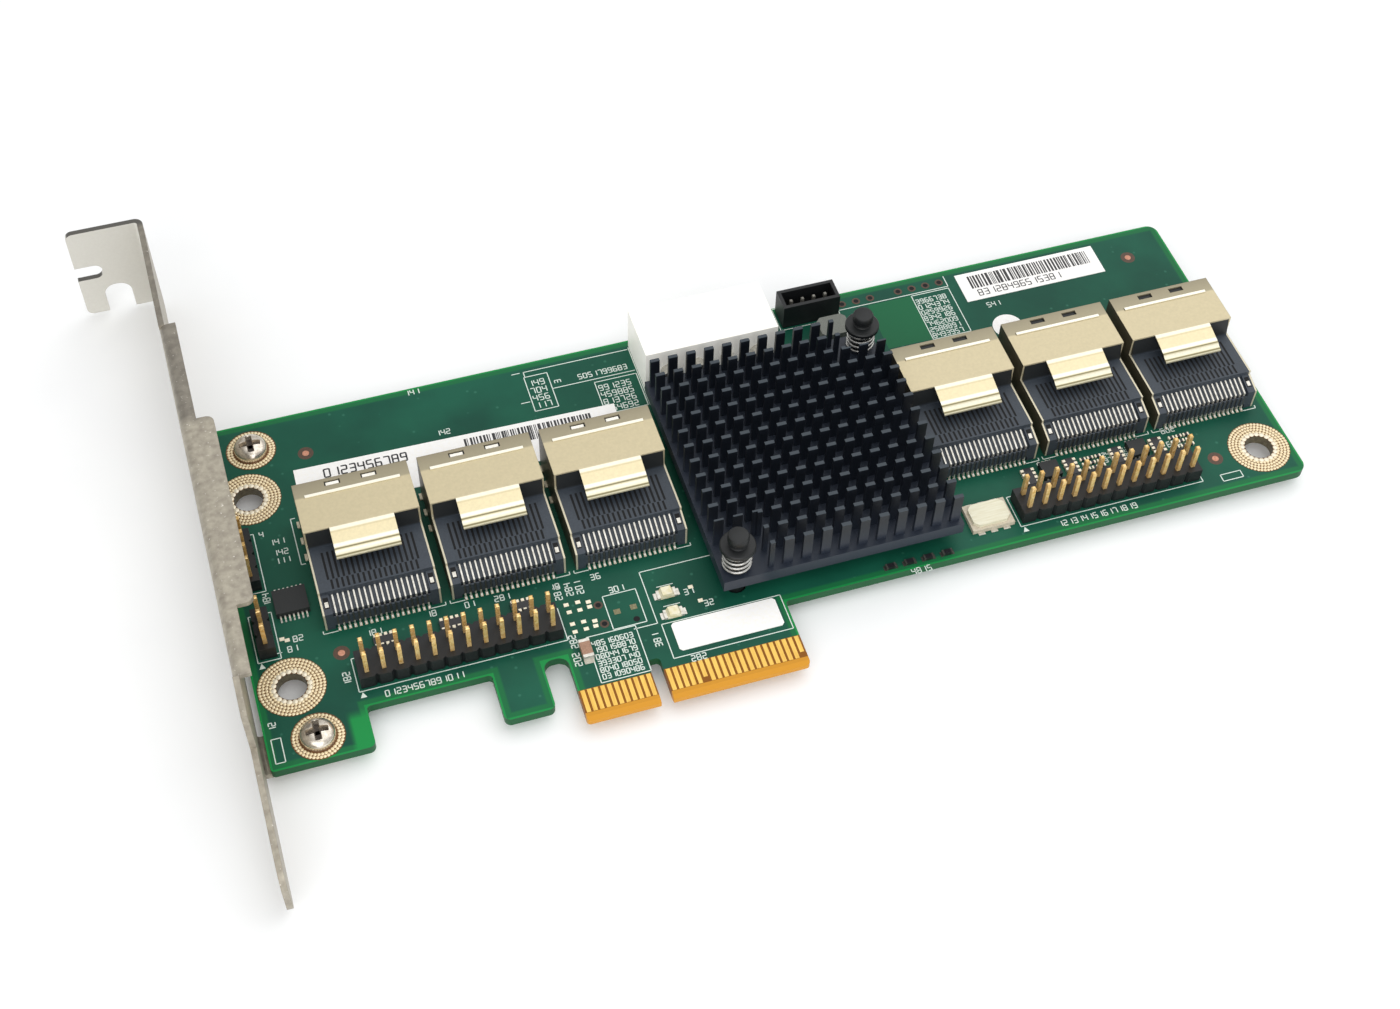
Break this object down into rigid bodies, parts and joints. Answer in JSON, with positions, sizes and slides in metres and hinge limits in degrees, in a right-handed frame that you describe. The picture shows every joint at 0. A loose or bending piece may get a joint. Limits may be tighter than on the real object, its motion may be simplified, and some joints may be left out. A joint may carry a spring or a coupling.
{
  "type": "expander card",
  "caption": "Low-profile storage expander card with a full-height slot bracket, pin-fin heat sink, right-angle mini-SAS sockets, pin headers and a gold edge connector",
  "frame": {"origin": "middle of the footprint at the level of the lowest point, the push pin tips below the board", "axes": "+X along the card away from the bracket, +Y from the edge contacts to the top edge, +Z out of the component face"},
  "size_m": [0.181, 0.12, 0.0194],
  "materials": {
    "green_board": "satin solder mask",
    "gold_plate": "bright plate",
    "tinned_pad": "tinned",
    "bracket_steel": "dull plate",
    "nickel_steel": "bright",
    "black_anodised": "black anodised",
    "chip_black": "matt",
    "pad_grey": "matt",
    "black_nylon": "satin",
    "spring_steel": "bright",
    "header_black": "matt",
    "gold_pin": "gold flash",
    "tinned_pin": "tinned",
    "natural_nylon": "satin",
    "ferrite_grey": "matt",
    "clear_epoxy": "gloss",
    "capacitor_tan": "matt",
    "resistor_black": "satin",
    "white_label": "matt",
    "tinned_lead": "tinned",
    "clock_ceramic": "matt",
    "clock_lid": "satin nickel",
    "socket_black": "matt",
    "nickel_shell": "satin nickel"
  },
  "bodies": {
    "root": {"circuit_board": "green_board", "edge_contacts_front": "gold_plate", "edge_contacts_back": "gold_plate", "ring_pads": "tinned_pad", "slot_bracket": "bracket_steel", "bracket_screws": "nickel_steel", "heat_sink": "black_anodised", "expander_chip": "chip_black", "thermal_pad": "pad_grey", "push_pins": "black_nylon", "push_pin_springs": "spring_steel", "led_header_left_base": "header_black", "led_header_left_pins": "gold_pin", "led_header_right_base": "header_black", "led_header_right_pins": "gold_pin", "side_header_four_base": "header_black", "side_header_four_pins": "gold_pin", "side_header_three_base": "header_black", "side_header_three_pins": "gold_pin", "aux_header_housing": "header_black", "aux_header_pins": "tinned_pin", "power_inlet_housing": "natural_nylon", "power_inlet_pins": "tinned_pin", "power_inductor": "ferrite_grey", "status_lights": "clear_epoxy", "bulk_capacitor": "capacitor_tan", "chip_resistors": "resistor_black", "resistor_arrays": "resistor_black", "part_label": "white_label", "address_label": "white_label", "model_label": "white_label", "logic_chip": "chip_black", "logic_chip_leads": "tinned_lead", "driver_chips": "chip_black", "driver_chip_leads": "tinned_lead", "oscillator_base": "clock_ceramic", "oscillator_lid": "clock_lid", "sas_housing_1": "socket_black", "sas_shell_1": "nickel_shell", "sas_contacts_1": "tinned_lead", "sas_housing_2": "socket_black", "sas_shell_2": "nickel_shell", "sas_contacts_2": "tinned_lead", "sas_housing_3": "socket_black", "sas_shell_3": "nickel_shell", "sas_contacts_3": "tinned_lead", "sas_housing_4": "socket_black", "sas_shell_4": "nickel_shell", "sas_contacts_4": "tinned_lead", "sas_housing_5": "socket_black", "sas_shell_5": "nickel_shell", "sas_contacts_5": "tinned_lead", "sas_housing_6": "socket_black", "sas_shell_6": "nickel_shell", "sas_contacts_6": "tinned_lead"}
  },
  "joints": []
}
